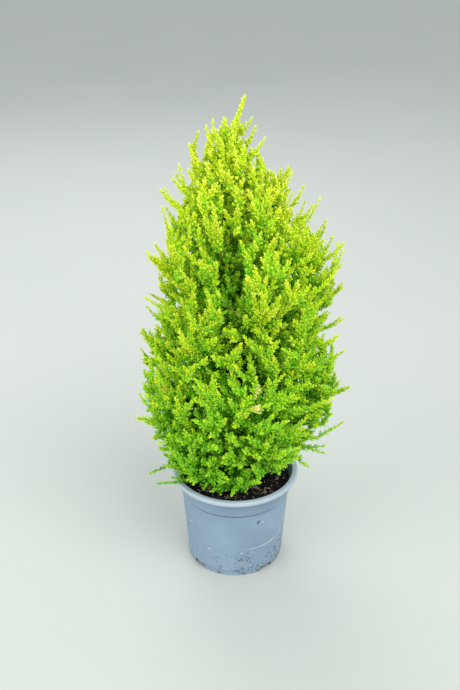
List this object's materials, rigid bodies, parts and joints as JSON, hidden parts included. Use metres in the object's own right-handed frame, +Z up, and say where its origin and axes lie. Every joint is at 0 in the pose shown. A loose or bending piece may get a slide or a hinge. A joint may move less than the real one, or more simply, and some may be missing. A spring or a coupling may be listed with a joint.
{
  "type": "potted golden cypress",
  "caption": "Young golden cypress, a slim cone of upright feathery plumes on one straight stem, standing in a tapered round plastic nursery pot filled with compost.",
  "frame": {"origin": "centre of the pot's flat underside", "axes": "+Z up the stem, -Y towards the side that the picture shows, +X to that side's right"},
  "size_m": [0.2231, 0.2161, 0.526],
  "materials": {
    "pot_plastic": "smooth pale grey-blue plastic with a slight sheen, scuffed and specked with dirt low down",
    "compost": "dark crumbly compost of bark, fibre and peat, with paler chips",
    "bark": "thin red-brown bark with fine lengthwise cracks",
    "foliage_low": "matte mid-green scale leaves",
    "foliage_middle": "matte lime-green scale leaves",
    "foliage_top": "matte lemon-yellow scale leaves"
  },
  "bodies": {
    "root": {"pot": "pot_plastic", "compost": "compost", "trunk": "bark", "bough_01": "bark", "bough_02": "bark", "bough_03": "bark", "bough_04": "bark", "bough_05": "bark", "bough_06": "bark", "bough_07": "bark", "bough_08": "bark", "bough_09": "bark", "bough_10": "bark", "bough_11": "bark", "bough_12": "bark", "bough_13": "bark", "bough_14": "bark", "bough_15": "bark", "bough_16": "bark", "bough_17": "bark", "bough_18": "bark", "bough_19": "bark", "bough_20": "bark", "bough_21": "bark", "bough_22": "bark", "bough_23": "bark", "bough_24": "bark", "bough_25": "bark", "foliage_01": "foliage_low", "foliage_02": "foliage_low", "foliage_03": "foliage_low", "foliage_04": "foliage_low", "foliage_05": "foliage_low", "foliage_06": "foliage_low", "foliage_07": "foliage_low", "foliage_08": "foliage_low", "foliage_09": "foliage_low", "foliage_10": "foliage_low", "foliage_11": "foliage_middle", "foliage_12": "foliage_middle", "foliage_13": "foliage_middle", "foliage_14": "foliage_middle", "foliage_15": "foliage_middle", "foliage_16": "foliage_middle", "foliage_17": "foliage_middle", "foliage_18": "foliage_middle", "foliage_19": "foliage_middle", "foliage_20": "foliage_middle", "foliage_21": "foliage_middle", "foliage_22": "foliage_top", "foliage_23": "foliage_top", "foliage_24": "foliage_top", "foliage_25": "foliage_top", "foliage_leader": "foliage_top"}
  },
  "joints": []
}
